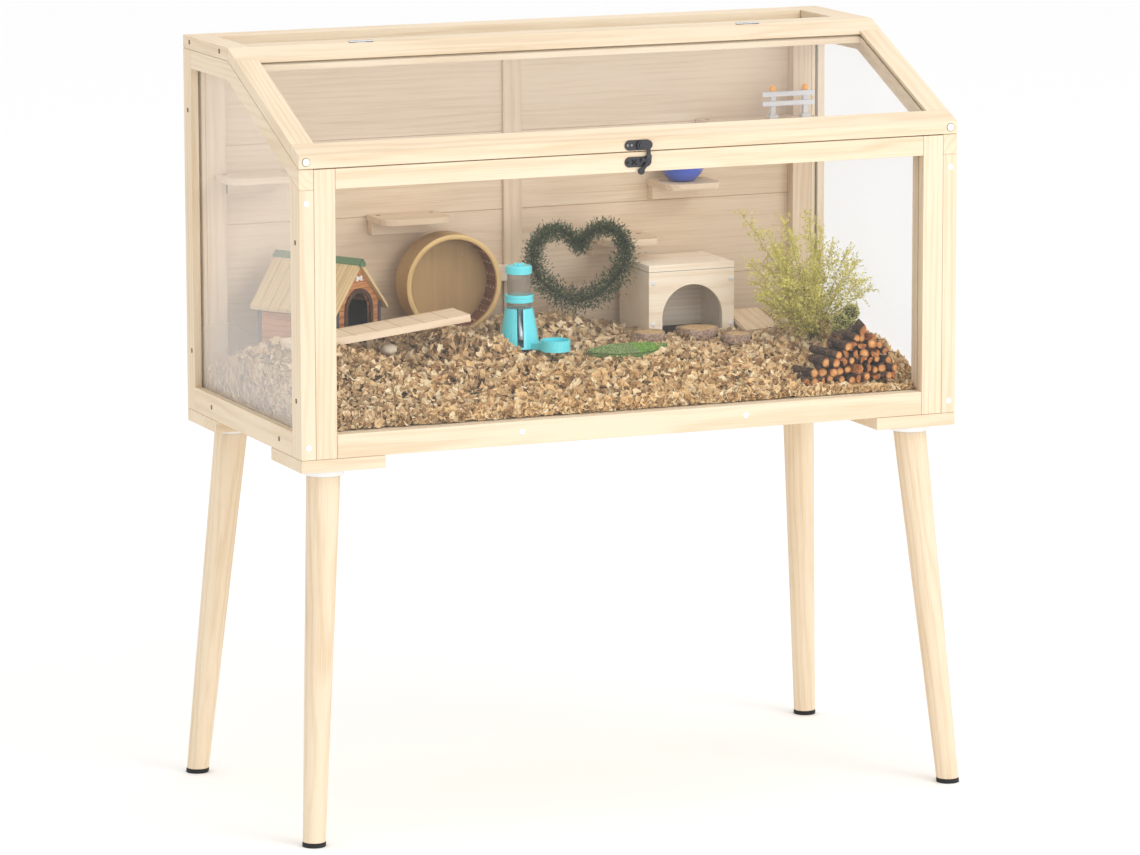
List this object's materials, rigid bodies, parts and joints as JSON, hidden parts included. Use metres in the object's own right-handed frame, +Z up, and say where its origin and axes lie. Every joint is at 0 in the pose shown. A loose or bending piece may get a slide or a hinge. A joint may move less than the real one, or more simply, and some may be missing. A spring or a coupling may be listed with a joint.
{
  "type": "hamster cage",
  "caption": "Pine hamster cage on splayed legs, with a sloping hinged acrylic lid, clear front and sides, boarded back, bedding, shelves, running wheel, bottle and nest box.",
  "frame": {"origin": "on the floor, under the middle of the cage", "axes": "+X to the right seen from the front, +Y to the boarded back, +Z up"},
  "size_m": [1.0134, 0.5248, 1.0861],
  "materials": {
    "pine": "planed, unvarnished fir, pale straw",
    "pine_inside": "planed, unvarnished fir in the shade of the cage",
    "plywood": "thin birch plywood, satin",
    "acrylic": "clear polished acrylic sheet",
    "black_rubber": "black moulded foot pad",
    "dark_steel": "dark grey lacquered steel",
    "zinc_steel": "zinc-plated steel",
    "shavings": "dry softwood shavings",
    "cyan_plastic": "glossy cyan moulding",
    "smoked_plastic": "smoked clear bottle"
  },
  "bodies": {
    "root": {"left_rear_stile": "pine", "left_front_stile": "pine", "left_bottom_rail": "pine", "left_top_rail": "pine", "right_rear_stile": "pine", "right_front_stile": "pine", "right_bottom_rail": "pine", "right_top_rail": "pine", "front_left_stile": "pine", "front_right_stile": "pine", "front_bottom_rail": "pine", "front_top_rail": "pine", "top_left_rail": "pine", "top_right_rail": "pine", "top_rear_rail": "pine", "top_front_rail": "pine", "front_left_cleat": "pine", "front_right_cleat": "pine", "rear_left_cleat": "pine", "rear_right_cleat": "pine", "front_left_leg": "pine", "front_right_leg": "pine", "rear_left_leg": "pine", "rear_right_leg": "pine", "back_left_stile": "pine_inside", "back_right_stile": "pine_inside", "back_boards": "pine_inside", "back_middle_batten": "pine_inside", "shelf_over_wheel": "pine_inside", "shelf_over_nest": "pine_inside", "shelf_for_bowl": "pine_inside", "shelf_in_left_corner": "pine_inside", "shelf_for_fence": "pine_inside", "wheel_mount": "pine_inside", "nest_box": "pine_inside", "left_pane": "acrylic", "right_pane": "acrylic", "front_pane": "acrylic", "front_left_foot": "black_rubber", "front_right_foot": "black_rubber", "rear_left_foot": "black_rubber", "rear_right_foot": "black_rubber", "left_hinge_frame_leaf": "zinc_steel", "right_hinge_frame_leaf": "zinc_steel", "top_mesh": "zinc_steel", "latch_catch": "dark_steel", "floor_panel": "plywood", "bedding": "shavings", "feeder_stand": "cyan_plastic"},
    "lid": {"lid_upper_rail": "pine", "lid_lower_rail": "pine", "lid_left_stile": "pine", "lid_right_stile": "pine", "lid_pane": "acrylic", "latch_plate": "dark_steel", "left_hinge_lid_leaf": "zinc_steel", "right_hinge_lid_leaf": "zinc_steel"},
    "latch": {"latch_hook": "dark_steel"},
    "wheel": {"wheel_drum": "plywood"},
    "bottle": {"feeder_bottle": "smoked_plastic"}
  },
  "joints": [
    {"name": "lid_hinge", "type": "hinge", "parent": "root", "child": "lid", "pos_m": [0, 0.047, 1.0845], "axis": [-1, 0, 0], "range_deg": [0, 200]},
    {"name": "latch_swing", "type": "hinge", "parent": "lid", "child": "latch", "pos_m": [0.0068, -0.2415, 0.954], "axis": [0, -1, 0], "range_deg": [0, 100]},
    {"name": "wheel_spin", "type": "hinge", "parent": "root", "child": "wheel", "pos_m": [-0.1195, 0.1725, 0.7108], "axis": [0, 1, 0], "continuous": true},
    {"name": "bottle_lift", "type": "slide", "parent": "root", "child": "bottle", "axis": [0, 0, 1], "range_m": [0, 0.06]}
  ]
}
